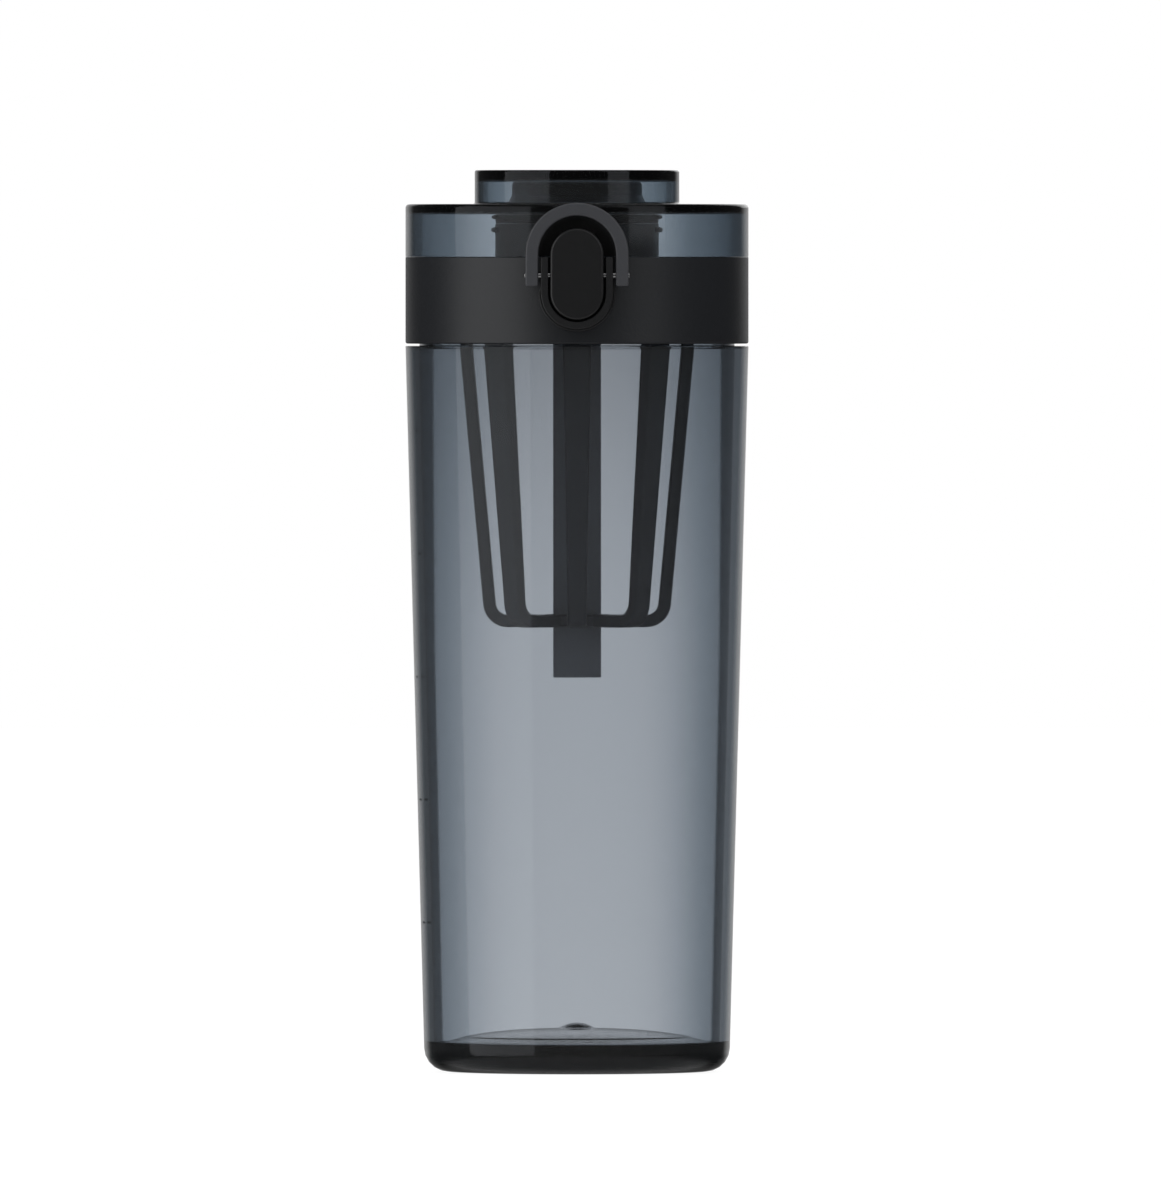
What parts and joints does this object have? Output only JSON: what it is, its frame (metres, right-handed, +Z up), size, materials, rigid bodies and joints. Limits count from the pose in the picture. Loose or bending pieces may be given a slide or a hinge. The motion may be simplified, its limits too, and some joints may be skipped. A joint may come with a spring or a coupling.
{
  "type": "shaker bottle",
  "caption": "Tall clear drinking bottle with a screw-on collar, a push-button flip cover over the mouth, a lock bail round the button and a mixing cage inside.",
  "frame": {"origin": "centre of the underside, on the surface that the bottle stands on", "axes": "+Z up along the bottle's axis, -Y out through the button, +Y towards the cover's hinge"},
  "size_m": [0.086, 0.098, 0.226],
  "materials": {
    "smoke_tumbler": "clear smoke grey, gloss",
    "smoke_cover": "clear smoke grey, gloss",
    "black_matte": "fine matte",
    "black_satin": "satin",
    "button_black": "satin",
    "bail_grey": "satin",
    "cage_black": "satin",
    "silicone": "matte",
    "steel": "satin",
    "spring_steel": "drawn wire"
  },
  "bodies": {
    "tumbler": {"tumbler": "smoke_tumbler"},
    "seal": {"neck_gasket": "silicone"},
    "lid": {"collar": "black_matte", "lid_deck": "black_satin", "latch_bezel": "black_satin", "latch_pin": "steel", "hinge_pin": "steel", "button_spring": "spring_steel", "hinge_spring": "spring_steel"},
    "cage": {"mixing_cage": "cage_black", "stir_blade": "cage_black"},
    "cover": {"cover_shell": "smoke_cover", "catch_block": "black_satin", "hinge_block": "black_satin", "stopper_carrier": "black_satin", "stopper_seal": "silicone"},
    "button": {"rocker_button": "button_black"},
    "bail": {"lock_bail": "bail_grey"}
  },
  "joints": [
    {"name": "lid_rise", "type": "slide", "parent": "tumbler", "child": "seal", "axis": [0, 0, 1], "range_m": [0, 0.0063]},
    {"name": "lid_turn", "type": "hinge", "parent": "seal", "child": "lid", "pos_m": [0, 0, 0], "axis": [0, 0, 1], "range_deg": [0, 450]},
    {"name": "cage_pull", "type": "slide", "parent": "lid", "child": "cage", "axis": [0, 0, -1], "range_m": [0, 0.02]},
    {"name": "cover_flip", "type": "hinge", "parent": "lid", "child": "cover", "pos_m": [0, 0.0462, 0.2042], "axis": [-1, 0, 0], "range_deg": [0, 130], "deforming": ["hinge_spring"]},
    {"name": "button_rock", "type": "hinge", "parent": "lid", "child": "button", "pos_m": [0, -0.046, 0.1997], "axis": [1, 0, 0], "range_deg": [0, 9], "stiffness_Nm_per_rad": 0.2, "springref_deg": -2.86, "deforming": ["button_spring"]},
    {"name": "bail_swing", "type": "hinge", "parent": "lid", "child": "bail", "pos_m": [0, -0.046, 0.1997], "axis": [1, 0, 0], "range_deg": [0, 180]}
  ],
  "couplings": [
    {"joint": "lid_rise", "follows": "lid_turn", "m_per_rad": 0.00079577}
  ]
}
